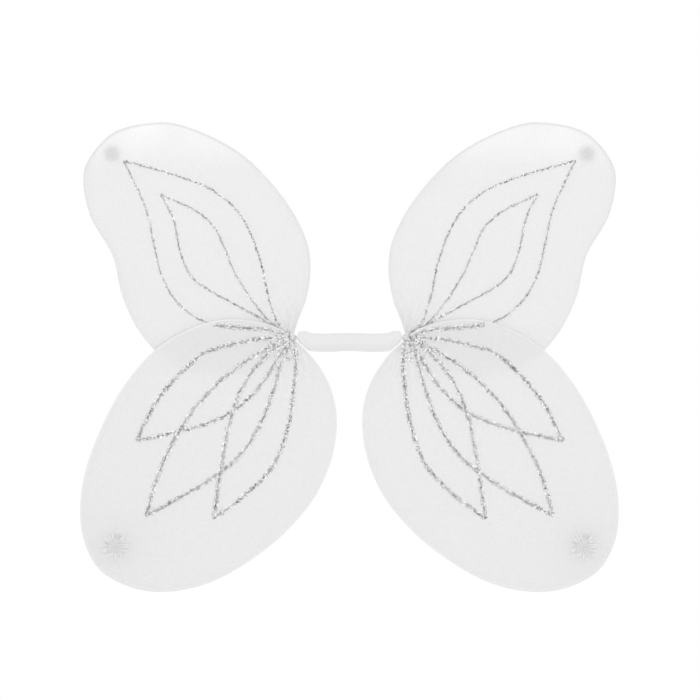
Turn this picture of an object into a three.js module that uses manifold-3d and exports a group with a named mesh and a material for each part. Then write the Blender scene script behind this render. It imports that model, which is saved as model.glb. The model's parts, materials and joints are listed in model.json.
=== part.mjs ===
// Fairy wings: four wire hoops, each in a sheer nylon cover with lines of glitter glue, standing in
// pairs on two root knots, with a padded fabric bridge between the knots.
//
// Millimetres, +Z up, +X to the wearer's right, +Y towards the wearer's back.
// The origin is the middle of the bridge's flat back face, which rests on the wearer.
// Every wing shape is drawn in the plane of its hoop, as shares of the wing's reach and height.

import * as THREE from "three";
import { mergeVertices } from "three/addons/utils/BufferGeometryUtils.js";
import Module from "manifold-3d";

const wasm = await Module();
wasm.setup();

// ---------- driving sizes ----------

const fit = 0.3; // gap kept between touching pieces
const rootSpacing = 126.8; // from one root knot's centre to the other's
const knotRadius = 4.5; // thread knot that holds two wings
const wireRadius = 1.0; // hoop wire
const nylonSkin = 0.3; // one layer of the cover
const layerGap = 1.4; // between the upper and lower wings' covers, where they pass each other
const layerStep = 2 * (wireRadius + fit + nylonSkin) + layerGap; // from hoop plane to hoop plane

const upperReach = 234; // root knot to the outermost point of an upper wing
const upperRise = 242; // root knot to the top of an upper wing
const lowerReach = 237; // root knot to the outermost point of a lower wing
const lowerDrop = 284; // root knot to the bottom of a lower wing

const veinWidth = 3.0; // line of glitter glue
const veinThickness = 0.35;
const veinStart = 3.2; // distance from the knot's centre at which the lines begin

const toeRadius = 5.0; // gathered toe of the nylon, behind the tip of a wing
const toeHeight = 6.5;
const toeNeckRadius = 2.2;
const threadRadius = 0.6; // thread round the toe's neck

const sleeveDepth = 9.6; // bridge sleeve, front to back
const sleeveSkin = 0.6;
const sleeveTop = 6.2; // above the knots' centres, in the middle
const sleeveBottom = 14.4; // below the knots' centres
const sleeveEndRise = 2.2; // the padding bulges up this much near the ends
const sleeveEndGap = 6.4; // from a knot's centre to the sleeve's end
const sleeveCornerRun = 15.5; // how far in from the end the lower corner's cut reaches
const bridgeWireRadius = 1.3;

const hoopSteps = 64; // straight stretches round a hoop and its cover
const veinSteps = 14;
const wireSides = 8;
const roundSides = 14;

// ---------- wing shapes ----------

// Points run from the root knot round the outline and back, [across, up], in hundredths of the
// wing's reach and height. Lines of glitter start at the knot and end at their leaf's tip.

const upperShape = {
  name: "upper",
  reach: upperReach,
  height: upperRise,
  outline: [
    [0, 0], [-2.6, 8.2], [-6, 16.5], [-8.2, 27.3], [-8.4, 35.5], [-6.8, 44.6], [3.2, 63.2],
    [25.2, 85.6], [52.2, 98.4], [65, 100], [86.4, 95], [99.2, 80.3], [100.4, 70.5], [96.8, 55.8],
    [86.4, 38], [81.8, 19.5], [72.8, 1.8], [59, -11.4], [38, -17.6], [18.2, -14.8], [5.6, -6.6],
    [0, 0],
  ],
  leaves: [
    {
      tip: [81, 82],
      sides: [
        [[7.1, 6.6], [11.8, 19.4], [15.2, 34.3], [20.4, 48.6], [26.8, 58.9], [37.9, 68], [54.1, 74.6]],
        [[10.1, 3.3], [41.3, 7.2], [54.1, 15.3], [62.4, 28], [66.5, 43.4], [70.3, 59.5]],
      ],
    },
    {
      tip: [63.1, 66.5],
      sides: [
        [[11.8, 8.3], [26.3, 27.7], [33.6, 43.4], [37, 50.4], [44.7, 57.6]],
        [[13.9, 8.3], [42.6, 23.6], [49, 29], [53.9, 39.7], [57.5, 55.6]],
      ],
    },
  ],
  toe: [86.7, 85.3],
  plane: layerStep / 2,
};

const lowerShape = {
  name: "lower",
  reach: lowerReach,
  height: lowerDrop,
  outline: [
    [0, 0], [6.2, 3.8], [19.2, 6.9], [34.4, 7.2], [49.8, 3.3], [65, -4.6], [79.2, -18.2],
    [90.1, -34.6], [98.1, -53], [100.4, -68], [98.3, -80.6], [90.8, -91.6], [75, -98.6],
    [59.3, -100], [40, -96.6], [20.8, -88], [2.8, -76], [-10.9, -62], [-18.9, -46], [-20.8, -30.7],
    [-17.3, -18.3], [-9, -7.2], [0, 0],
  ],
  leaves: [
    {
      tip: [73.9, -40.5],
      sides: [
        [[15.5, -0.4], [34.4, -3.8], [42.3, -6.2], [57.6, -18.1], [65, -26]],
        [[6.2, -7], [16.7, -20.4], [28.9, -29.1], [44.1, -34.7]],
      ],
    },
    {
      tip: [69.2, -69.9],
      sides: [
        [[13.8, -4.8], [31.7, -15.1], [45.8, -27.4], [55.7, -40.1], [64.2, -55.3]],
        [[5.3, -9.5], [8.5, -18.8], [15.2, -34], [26.8, -47.8], [44.1, -58.4]],
      ],
    },
    {
      tip: [37.4, -71],
      sides: [
        [[11.7, -6.3], [23, -18.3], [29.6, -32.4], [33.2, -48.2]],
        [[-1.4, -8.8], [-1, -16.5], [2.3, -34.9], [9, -49.8], [22.2, -61.6]],
      ],
    },
  ],
  toe: [83.7, -81.8],
  plane: -layerStep / 2,
};

// ---------- materials ----------

const nylonWhite = new THREE.MeshStandardMaterial({ color: 0xf2f2f2, roughness: 0.6, metalness: 0 });
const wireWhite = new THREE.MeshStandardMaterial({ color: 0xe6e6e6, roughness: 0.35, metalness: 0.2 });
const glitterSilver = new THREE.MeshStandardMaterial({ color: 0xb4b4b6, roughness: 0.3, metalness: 0.7 });
const threadWhite = new THREE.MeshStandardMaterial({ color: 0xededed, roughness: 0.8, metalness: 0 });
const sleeveWhite = new THREE.MeshStandardMaterial({ color: 0xf0f0f0, roughness: 0.75, metalness: 0 });
const paddingWhite = new THREE.MeshStandardMaterial({ color: 0xf6f6f4, roughness: 0.95, metalness: 0 });

const wings = new THREE.Group();

// ---------- solids ----------

// A closed geometry as a solid that can be joined and cut.
function toSolid(geometry) {
  const bare = geometry.clone();
  bare.deleteAttribute("normal");
  bare.deleteAttribute("uv");
  const merged = mergeVertices(bare, 1e-4);
  return new wasm.Manifold(
    new wasm.Mesh({
      numProp: 3,
      vertProperties: new Float32Array(merged.attributes.position.array),
      triVerts: new Uint32Array(merged.index.array),
    }),
  );
}

// A solid as a geometry for a mesh.
function toGeometry(solid) {
  const result = solid.getMesh();
  const geometry = new THREE.BufferGeometry();
  geometry.setAttribute("position", new THREE.BufferAttribute(result.vertProperties, 3));
  geometry.setIndex(new THREE.BufferAttribute(result.triVerts, 1));
  return geometry;
}

function addPiece(name, geometry, material) {
  const piece = new THREE.Mesh(geometry, material);
  piece.name = name;
  wings.add(piece);
}

// A flat plate with the outline's points in the XZ plane, from back (y) forward by thickness.
function plate(points, back, thickness) {
  const geometry = new THREE.ExtrudeGeometry(new THREE.Shape(points), {
    depth: thickness,
    bevelEnabled: false,
  });
  geometry.rotateX(Math.PI / 2);
  geometry.translate(0, back, 0);
  return geometry;
}

function knotCentre(side) {
  return new THREE.Vector3((side * rootSpacing) / 2, 0, 0);
}

// The ball of space that a knot and its clearance take out of the pieces round it.
function knotSpace(side) {
  const ball = new THREE.SphereGeometry(knotRadius + fit, 2 * roundSides, roundSides);
  const centre = knotCentre(side);
  ball.translate(centre.x, centre.y, centre.z);
  return toSolid(ball);
}

// ---------- curves in a wing's plane ----------

// A share of the wing's reach and height as a place in the wing's plane.
function place(shape, side, share) {
  const across = rootSpacing / 2 + (share[0] / 100) * shape.reach;
  return new THREE.Vector3(side * across, 0, (share[1] / 100) * shape.height);
}

function smoothThrough(points) {
  return new THREE.CatmullRomCurve3(points, false, "centripetal");
}

// The middle of the hoop's wire, from the knot round the wing and back to the knot.
function hoopLine(shape, side) {
  const curve = smoothThrough(shape.outline.map((share) => place(shape, side, share)));
  const stem = (knotRadius + 2 * fit) / curve.getLength();
  const points = [];
  for (let step = 0; step <= hoopSteps; step += 1) {
    points.push(curve.getPointAt(stem + ((1 - 2 * stem) * step) / hoopSteps));
  }
  return points;
}

// The points of an open line, each moved to its left by the distance.
function offsetLine(points, distance) {
  return points.map((point, index) => {
    const before = points[Math.max(index - 1, 0)];
    const after = points[Math.min(index + 1, points.length - 1)];
    const along = new THREE.Vector2(after.x - before.x, after.z - before.z).normalize();
    return new THREE.Vector2(point.x - along.y * distance, point.z + along.x * distance);
  });
}

// A hoop line offset outwards, whichever way round it runs.
function growLine(points, distance) {
  let doubleArea = 0;
  points.forEach((point, index) => {
    const next = points[(index + 1) % points.length];
    doubleArea += point.x * next.z - next.x * point.z;
  });
  return offsetLine(points, doubleArea > 0 ? -distance : distance);
}

// ---------- pieces of a wing ----------

// The outline was measured over the cover, so the wire runs inside it by what lies round the wire.
function wireLine(shape, side) {
  const inset = wireRadius + fit + nylonSkin;
  const points = growLine(hoopLine(shape, side), -inset);
  return points.map((point) => new THREE.Vector3(point.x, shape.plane, point.y));
}

function circleShape(radius, sides) {
  const points = [];
  for (let index = 0; index < sides; index += 1) {
    const angle = (2 * Math.PI * index) / sides;
    points.push(new THREE.Vector2(radius * Math.cos(angle), radius * Math.sin(angle)));
  }
  return new THREE.Shape(points);
}

// A chain of straight stretches, so that the wire's corners match the cover's.
function chain(points) {
  const path = new THREE.CurvePath();
  for (let index = 1; index < points.length; index += 1) {
    path.add(new THREE.LineCurve3(points[index - 1], points[index]));
  }
  return path;
}

function makeHoop(shape, side) {
  const tube = new THREE.ExtrudeGeometry(circleShape(wireRadius, wireSides), {
    steps: hoopSteps,
    extrudePath: chain(wireLine(shape, side)),
  });
  return toGeometry(toSolid(tube).subtract(knotSpace(side)));
}

// A flat bag of nylon round the hoop, with its mouth at the knot.
function makeCover(shape, side) {
  const line = wireLine(shape, side);
  const roomRadius = wireRadius + fit;
  const bagRadius = roomRadius + nylonSkin;
  const centre = knotCentre(side);
  const inside = growLine(line, roomRadius);
  inside.push(new THREE.Vector2(centre.x, centre.z));
  const bag = toSolid(plate(growLine(line, bagRadius), shape.plane + bagRadius, 2 * bagRadius));
  const room = toSolid(plate(inside, shape.plane + roomRadius, 2 * roomRadius));
  return toGeometry(bag.subtract(room).subtract(knotSpace(side)));
}

// One line of glitter glue from near the knot to its leaf's tip.
function veinStrip(shape, side, shares, back) {
  const centre = knotCentre(side);
  const points = shares.map((share) => place(shape, side, share));
  const start = points[0].clone().sub(centre).setLength(veinStart).add(centre);
  const curve = smoothThrough([start, ...points]);
  const middle = curve.getSpacedPoints(veinSteps);
  const end = middle[veinSteps].clone().sub(middle[veinSteps - 1]).setLength(veinWidth / 2);
  middle[veinSteps].add(end);
  const left = offsetLine(middle, veinWidth / 2);
  const right = offsetLine(middle, -veinWidth / 2);
  return toSolid(plate([...left, ...right.reverse()], back, veinThickness));
}

// All the glitter lines on the front of one wing, joined where they cross and at the root.
function makeVeins(shape, side) {
  const front = shape.plane - wireRadius - fit - nylonSkin - fit;
  let veins = null;
  for (const leaf of shape.leaves) {
    for (const sideShares of leaf.sides) {
      const strip = veinStrip(shape, side, [...sideShares, leaf.tip], front);
      veins = veins ? veins.add(strip) : strip;
    }
  }
  return toGeometry(veins.subtract(knotSpace(side)));
}

// A turned piece whose axis runs back from the cover at the toe.
function turned(shape, side, profile) {
  const geometry = new THREE.LatheGeometry(profile, roundSides);
  const base = place(shape, side, shape.toe);
  const coverBack = shape.plane + wireRadius + fit + nylonSkin;
  geometry.translate(base.x, coverBack + fit, base.z);
  return geometry;
}

// The gathered end of the nylon behind the wing's tip.
function makeToe(shape, side) {
  const neckHeight = toeHeight * 0.4;
  const profile = [
    new THREE.Vector2(0, 0),
    new THREE.Vector2(toeRadius, 0),
    new THREE.Vector2(toeNeckRadius, neckHeight - threadRadius),
    new THREE.Vector2(toeNeckRadius, neckHeight + threadRadius),
    new THREE.Vector2(toeRadius * 0.7, toeHeight * 0.8),
    new THREE.Vector2(toeRadius * 0.5, toeHeight),
    new THREE.Vector2(0, toeHeight),
  ];
  return turned(shape, side, profile);
}

// The thread tied round the toe's neck.
function makeToeThread(shape, side) {
  const height = toeHeight * 0.4;
  const radius = toeNeckRadius + fit / 2 + threadRadius;
  const corners = 6;
  const profile = [];
  for (let index = 0; index <= corners; index += 1) {
    const angle = (2 * Math.PI * index) / corners;
    const out = radius + threadRadius * Math.cos(angle);
    profile.push(new THREE.Vector2(out, height + threadRadius * Math.sin(angle)));
  }
  return turned(shape, side, profile);
}

function addWing(sideName, side, shape) {
  const prefix = `${sideName}_${shape.name}`;
  addPiece(`${prefix}_wire_hoop`, makeHoop(shape, side), wireWhite);
  addPiece(`${prefix}_nylon_cover`, makeCover(shape, side), nylonWhite);
  addPiece(`${prefix}_glitter_veins`, makeVeins(shape, side), glitterSilver);
  addPiece(`${prefix}_gathered_toe`, makeToe(shape, side), nylonWhite);
  addPiece(`${prefix}_toe_thread`, makeToeThread(shape, side), threadWhite);
}

// ---------- root knots and bridge ----------

function addKnot(sideName, side) {
  const ball = new THREE.SphereGeometry(knotRadius, roundSides, roundSides / 2);
  const centre = knotCentre(side);
  ball.translate(centre.x, centre.y, centre.z);
  addPiece(`${sideName}_root_knot`, ball, threadWhite);
}

// The flattened tube's face: hollow along the top, with the lower corners cut off along the
// lower wings' inner rims. Inset draws the same face further in, past goes further out at the ends.
function bridgeFace(inset, past) {
  const end = rootSpacing / 2 - sleeveEndGap;
  const top = sleeveTop - inset;
  const endTop = sleeveTop + sleeveEndRise - inset;
  const bottom = -sleeveBottom + inset;
  const endBottom = -(bridgeWireRadius + 2 * fit + sleeveSkin) + inset;
  const half = [
    new THREE.Vector2(end * 0.3, top),
    new THREE.Vector2(end * 0.7, top + sleeveEndRise * 0.35),
    new THREE.Vector2(end * 0.87, endTop),
    new THREE.Vector2(end - inset * 0.5, endTop - sleeveEndRise),
    new THREE.Vector2(end + past, endTop - sleeveEndRise),
    new THREE.Vector2(end + past, endBottom),
    new THREE.Vector2(end - inset * 0.5, endBottom),
    new THREE.Vector2(end - sleeveCornerRun - inset * 0.5, bottom),
  ];
  const otherHalf = half.map((point) => new THREE.Vector2(-point.x, point.y)).reverse();
  return [...half, ...otherHalf];
}

function addBridge() {
  const roomDepth = sleeveDepth - 2 * sleeveSkin;
  const padDepth = roomDepth - 2 * fit;
  const padInset = sleeveSkin + fit;
  const wireHalf = rootSpacing / 2 - knotRadius - fit;
  const outside = toSolid(plate(bridgeFace(0, 0), sleeveDepth / 2, sleeveDepth));
  const room = toSolid(plate(bridgeFace(sleeveSkin, sleeveEndGap), roomDepth / 2, roomDepth));
  addPiece("bridge_sleeve", toGeometry(outside.subtract(room)), sleeveWhite);

  const bore = new THREE.CylinderGeometry(bridgeWireRadius + fit, bridgeWireRadius + fit, rootSpacing, wireSides);
  bore.rotateZ(Math.PI / 2);
  const pad = toSolid(plate(bridgeFace(padInset, -padInset), padDepth / 2, padDepth));
  addPiece("bridge_padding", toGeometry(pad.subtract(toSolid(bore))), paddingWhite);

  const wire = new THREE.CylinderGeometry(bridgeWireRadius, bridgeWireRadius, 2 * wireHalf, wireSides);
  wire.rotateZ(Math.PI / 2);
  addPiece("bridge_wire", wire, wireWhite);
}

for (const [sideName, side] of [["left", -1], ["right", 1]]) {
  addWing(sideName, side, upperShape);
  addWing(sideName, side, lowerShape);
  addKnot(sideName, side);
}
addBridge();
wings.position.y = -sleeveDepth / 2;

export default wings;
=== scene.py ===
"""Fairy wings: the finished look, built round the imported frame.

Four wire hoops in sheer white nylon stand in pairs on two thread knots, with a padded fabric
bridge between them. Lengths are metres unless a name ends in _mm.
"""

import json
import logging
import math
from collections.abc import Mapping, Sequence
from dataclasses import dataclass, field
from enum import Enum

import bmesh
import bpy
import numpy as np
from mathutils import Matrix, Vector
from mathutils.bvhtree import BVHTree


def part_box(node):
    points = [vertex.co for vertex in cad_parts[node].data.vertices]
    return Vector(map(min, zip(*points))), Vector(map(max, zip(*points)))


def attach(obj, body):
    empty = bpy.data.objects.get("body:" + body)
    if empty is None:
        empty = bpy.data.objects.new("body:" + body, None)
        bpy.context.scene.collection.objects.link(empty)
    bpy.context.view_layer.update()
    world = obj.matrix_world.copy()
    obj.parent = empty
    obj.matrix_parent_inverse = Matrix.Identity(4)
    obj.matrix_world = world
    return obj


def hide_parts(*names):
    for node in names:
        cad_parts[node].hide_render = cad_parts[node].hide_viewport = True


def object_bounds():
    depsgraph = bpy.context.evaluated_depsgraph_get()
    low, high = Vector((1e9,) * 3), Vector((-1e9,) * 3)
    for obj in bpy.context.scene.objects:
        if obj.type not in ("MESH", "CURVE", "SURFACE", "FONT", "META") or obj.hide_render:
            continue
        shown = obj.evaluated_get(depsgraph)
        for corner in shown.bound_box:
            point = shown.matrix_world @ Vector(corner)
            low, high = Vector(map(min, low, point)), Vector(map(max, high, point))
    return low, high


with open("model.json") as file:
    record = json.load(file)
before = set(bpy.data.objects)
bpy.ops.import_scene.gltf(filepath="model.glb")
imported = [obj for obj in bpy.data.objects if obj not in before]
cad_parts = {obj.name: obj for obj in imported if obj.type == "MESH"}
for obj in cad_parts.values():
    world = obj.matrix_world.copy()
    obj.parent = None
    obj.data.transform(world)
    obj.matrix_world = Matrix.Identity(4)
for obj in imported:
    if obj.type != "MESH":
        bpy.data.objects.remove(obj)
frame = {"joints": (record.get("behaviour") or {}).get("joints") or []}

MM = 0.001
CAD_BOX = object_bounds()
LOG = logging.getLogger("fairy_wings")

Share = tuple[float, float]
Line = np.ndarray


class Side(Enum):
    """The wearer's side that a piece is on, with the sign of its X."""

    LEFT = -1
    RIGHT = 1

    @property
    def word(self) -> str:
        """The side's name as pieces use it."""
        return self.name.lower()


class Rank(Enum):
    """Which pair of wings a wing belongs to."""

    UPPER = "upper"
    LOWER = "lower"


# ---------- nodes and materials ----------


def linear(colour: str) -> tuple[float, float, float, float]:
    """Turns an sRGB hex colour into linear light.

    Args:
        colour: Six hex digits, such as "f2f2f0".

    Returns:
        Red, green, blue and an alpha of one.
    """
    channels = [int(colour[index : index + 2], 16) / 255 for index in (0, 2, 4)]
    lit = [c / 12.92 if c <= 0.04045 else ((c + 0.055) / 1.055) ** 2.4 for c in channels]
    return (*lit, 1.0)


def add_node(
    tree: bpy.types.NodeTree,
    kind: str,
    settings: Mapping[str, object] | None = None,
    inputs: Mapping[int | str, object] | None = None,
) -> bpy.types.Node:
    """Adds a node, sets it and links it.

    Args:
        tree: The tree that the node goes into.
        kind: The node's type name.
        settings: The node's own properties.
        inputs: Values or sockets for its inputs, by name or place.

    Returns:
        The new node.
    """
    node = tree.nodes.new(kind)
    for key, value in (settings or {}).items():
        setattr(node, key, value)
    for key, value in (inputs or {}).items():
        if isinstance(value, bpy.types.NodeSocket):
            tree.links.new(value, node.inputs[key])
        else:
            node.inputs[key].default_value = value
    return node


class Finish:
    """A material that is made once and then shared by its pieces."""

    name: str

    def paint(self, tree: bpy.types.NodeTree, shader: bpy.types.Node) -> None:
        """Adds the finish's own nodes and sets the shader's sockets."""
        raise NotImplementedError

    def material(self) -> bpy.types.Material:
        """Finds or makes the material."""
        made = bpy.data.materials.get(self.name)
        if made is None:
            made = bpy.data.materials.new(self.name)
            made.use_nodes = True
            tree = made.node_tree
            tree.nodes.clear()
            shader = add_node(tree, "ShaderNodeBsdfPrincipled")
            add_node(tree, "ShaderNodeOutputMaterial", inputs={"Surface": shader.outputs[0]})
            self.paint(tree, shader)
        return made


@dataclass(frozen=True)
class SheerNylon(Finish):
    """Knitted nylon hosiery stretched thin: open between its yarns, so it dims what is behind it.

    Where it is gathered, at the root and round the toe, it is denser, and light is lost in the
    valleys of pleats that are too fine to model; that shade is painted into the colour as darker rays.
    """

    name: str = "sheer_knitted_nylon"
    thick_yarn: str = "fcfcfc"
    thin_yarn: str = "f8f8f8"
    valley: str = "8c8c8c"
    roughness: float = 0.62
    cover: float = 0.83
    uneven: float = 0.02
    thinned: float = 0.6
    wale_mm: float = 2.4  # real wales are 0.4 mm apart; drawn coarser so that they show
    cloud_mm: float = 55.0
    root_reach_mm: float = 19.0
    root_rays: float = 17.0
    toe_rays: float = 8.5
    toe_shade: float = 0.4
    halo_shade: float = 0.12
    root_shade: float = 0.46
    toe_density: float = 0.24
    root_density: float = 0.25
    rim_density: float = 0.12

    @staticmethod
    def polar(
        tree: bpy.types.NodeTree, attribute: str, cells: float, drift: float
    ) -> tuple[bpy.types.NodeSocket, bpy.types.NodeSocket]:
        """Makes rays that run out from a point, and how far away that point is.

        Args:
            tree: The material's nodes.
            attribute: The attribute that holds the way from the point.
            cells: How many noise cells there are in each radian.
            drift: How quickly a ray changes along its length.

        Returns:
            The rays from 0 to 1, and the distance.
        """
        way = add_node(tree, "ShaderNodeAttribute", {"attribute_name": attribute})
        split = add_node(tree, "ShaderNodeSeparateXYZ", inputs={0: way.outputs["Vector"]})
        angle = add_node(
            tree,
            "ShaderNodeMath",
            {"operation": "ARCTAN2"},
            {0: split.outputs["Z"], 1: split.outputs["X"]},
        )
        far = add_node(
            tree, "ShaderNodeVectorMath", {"operation": "LENGTH"}, {0: way.outputs["Vector"]}
        )
        turned = add_node(
            tree, "ShaderNodeMath", {"operation": "MULTIPLY"}, {0: angle.outputs[0], 1: cells}
        )
        moved = add_node(
            tree, "ShaderNodeMath", {"operation": "MULTIPLY"}, {0: far.outputs["Value"], 1: drift}
        )
        spread = add_node(
            tree, "ShaderNodeCombineXYZ", inputs={0: turned.outputs[0], 1: moved.outputs[0]}
        )
        noise = add_node(
            tree,
            "ShaderNodeTexNoise",
            inputs={"Vector": spread.outputs[0], "Scale": 1.0, "Detail": 2.0, "Roughness": 0.6},
        )
        sharp = add_node(
            tree,
            "ShaderNodeMapRange",
            {"interpolation_type": "SMOOTHSTEP"},
            {"Value": noise.outputs["Fac"], "From Min": 0.38, "From Max": 0.62},
        )
        return sharp.outputs["Result"], far.outputs["Value"]

    def paint(self, tree: bpy.types.NodeTree, shader: bpy.types.Node) -> None:
        """Adds the knit, its clouding, and the painted shade of the gathers."""
        place = add_node(tree, "ShaderNodeTexCoord")
        wales = add_node(
            tree,
            "ShaderNodeTexNoise",
            inputs={
                "Vector": place.outputs["Object"],
                "Scale": 1 / (self.wale_mm * MM),
                "Detail": 3.0,
                "Roughness": 0.7,
            },
        )
        clouds = add_node(
            tree,
            "ShaderNodeTexNoise",
            inputs={
                "Vector": place.outputs["Object"],
                "Scale": 1 / (self.cloud_mm * MM),
                "Detail": 2.0,
            },
        )
        cloth = self.knit_cover(tree, wales.outputs["Fac"], clouds.outputs["Fac"])
        shade, dense = self.gathers(tree, cloth)
        yarn = add_node(
            tree,
            "ShaderNodeMix",
            {"data_type": "RGBA"},
            {
                "Factor": wales.outputs["Fac"],
                "A": linear(self.thin_yarn),
                "B": linear(self.thick_yarn),
            },
        )
        # painted shade: the yarn's colour darkens towards the pleat shade wherever the gathers' shade falls
        colour = add_node(
            tree,
            "ShaderNodeMix",
            {"data_type": "RGBA"},
            {"Factor": shade, "A": yarn.outputs["Result"], "B": linear(self.valley)},
        )
        bump = add_node(
            tree,
            "ShaderNodeBump",
            inputs={"Strength": 0.15, "Distance": 0.0002, "Height": dense},
        )
        tree.links.new(colour.outputs["Result"], shader.inputs["Base Color"])
        tree.links.new(dense, shader.inputs["Alpha"])
        tree.links.new(bump.outputs[0], shader.inputs["Normal"])
        shader.inputs["Roughness"].default_value = self.roughness
        shader.inputs["Sheen Weight"].default_value = 0.1
        shader.inputs["IOR"].default_value = 1.5

    def gathers(
        self, tree: bpy.types.NodeTree, cloth: bpy.types.NodeSocket
    ) -> tuple[bpy.types.NodeSocket, bpy.types.NodeSocket]:
        """The painted shade in the pleats of the gathers, and the cover where the knit is bunched.

        Args:
            tree: The material's nodes.
            cloth: How much the knit covers away from the gathers.

        Returns:
            The shade and the cover, from 0 to 1.
        """
        root_rays, root_far = self.polar(tree, "from_root", self.root_rays, 0.05)
        toe_rays, toe_far = self.polar(tree, "from_toe", self.toe_rays, 2.2)
        root_near = self.fading(tree, root_far, self.root_reach_mm)
        halo = self.fading(tree, toe_far, 1.5)
        disc = add_node(
            tree,
            "ShaderNodeMapRange",
            {"interpolation_type": "SMOOTHSTEP"},
            {"Value": toe_far, "From Min": 1.3, "From Max": 0.5},
        ).outputs["Result"]
        streaks = add_node(tree, "ShaderNodeAttribute", {"attribute_name": "toe_streaks"})
        rim = add_node(tree, "ShaderNodeAttribute", {"attribute_name": "rim"})
        burst = add_node(
            tree,
            "ShaderNodeMix",
            {"data_type": "FLOAT"},
            {0: streaks.outputs["Fac"], 2: 0.3, 3: toe_rays},
        )
        bunched = add_node(tree, "ShaderNodeMath", {"operation": "POWER"}, {0: root_near, 1: 2.0})
        shade, dense = 0.0, cloth
        # painted shade of a soft halo round the toe, of the rays of the toe's burst and of the rays at the root
        for one, other, strength in (
            (halo, streaks.outputs["Fac"], self.halo_shade),
            (burst.outputs[0], disc, self.toe_shade),
            (root_rays, root_near, self.root_shade),
        ):
            both = add_node(tree, "ShaderNodeMath", {"operation": "MULTIPLY"}, {0: one, 1: other})
            shade = add_node(
                tree,
                "ShaderNodeMath",
                {"operation": "MULTIPLY_ADD", "use_clamp": True},
                {0: both.outputs[0], 1: strength, 2: shade},
            ).outputs[0]
        for place, strength in (
            (disc, self.toe_density),
            (bunched.outputs[0], self.root_density),
            (rim.outputs["Fac"], self.rim_density),
        ):
            dense = add_node(
                tree,
                "ShaderNodeMath",
                {"operation": "MULTIPLY_ADD", "use_clamp": True},
                {0: place, 1: strength, 2: dense},
            ).outputs[0]
        return shade, dense

    def knit_cover(
        self,
        tree: bpy.types.NodeTree,
        wales: bpy.types.NodeSocket,
        clouds: bpy.types.NodeSocket,
    ) -> bpy.types.NodeSocket:
        """How much the yarn covers: less where the knit is pulled thin, and a little uneven.

        Args:
            tree: The material's nodes.
            wales: The fine noise of the knit.
            clouds: The broad noise of its stretch.

        Returns:
            The cover from 0 to 1.
        """
        thin = add_node(tree, "ShaderNodeAttribute", {"attribute_name": "pulled_thin"})
        patchy = add_node(
            tree, "ShaderNodeMath", {"operation": "MULTIPLY_ADD"}, {0: clouds, 1: 1.5, 2: 0.25}
        )
        loss = add_node(
            tree,
            "ShaderNodeMath",
            {"operation": "MULTIPLY"},
            {0: thin.outputs["Fac"], 1: patchy.outputs[0]},
        )
        yarn = add_node(
            tree,
            "ShaderNodeMapRange",
            inputs={
                "Value": wales,
                "From Min": 0.3,
                "From Max": 0.7,
                "To Min": self.cover - self.uneven,
                "To Max": self.cover + self.uneven,
            },
        )
        cover = add_node(
            tree,
            "ShaderNodeMath",
            {"operation": "MULTIPLY_ADD", "use_clamp": True},
            {0: loss.outputs[0], 1: -self.thinned, 2: yarn.outputs["Result"]},
        )
        return cover.outputs[0]

    @staticmethod
    def fading(
        tree: bpy.types.NodeTree, far: bpy.types.NodeSocket, reach: float
    ) -> bpy.types.NodeSocket:
        """Falls from 1 at a point to a third at the reach."""
        share = add_node(tree, "ShaderNodeMath", {"operation": "DIVIDE"}, {0: far, 1: -reach})
        near = add_node(tree, "ShaderNodeMath", {"operation": "EXPONENT"}, {0: share.outputs[0]})
        return near.outputs[0]


@dataclass(frozen=True)
class CoatedWire(Finish):
    """Steel wire in a thin white vinyl coat: smooth and slightly glossy, with faint drawing marks."""

    name: str = "white_vinyl_coated_wire"
    coat: str = "fafafa"
    rubbed: str = "f2f2f2"
    roughness: float = 0.38
    mark_mm: float = 3.0

    def paint(self, tree: bpy.types.NodeTree, shader: bpy.types.Node) -> None:
        """Adds the rubbed patches of the coat."""
        place = add_node(tree, "ShaderNodeTexCoord")
        noise = add_node(
            tree,
            "ShaderNodeTexNoise",
            inputs={
                "Vector": place.outputs["Object"],
                "Scale": 1 / (self.mark_mm * MM),
                "Detail": 5.0,
            },
        )
        colour = add_node(
            tree,
            "ShaderNodeMix",
            {"data_type": "RGBA"},
            {"Factor": noise.outputs["Fac"], "A": linear(self.coat), "B": linear(self.rubbed)},
        )
        bump = add_node(
            tree,
            "ShaderNodeBump",
            inputs={"Strength": 0.2, "Distance": 0.0001, "Height": noise.outputs["Fac"]},
        )
        tree.links.new(colour.outputs["Result"], shader.inputs["Base Color"])
        tree.links.new(bump.outputs[0], shader.inputs["Normal"])
        shader.inputs["Roughness"].default_value = self.roughness


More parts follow.
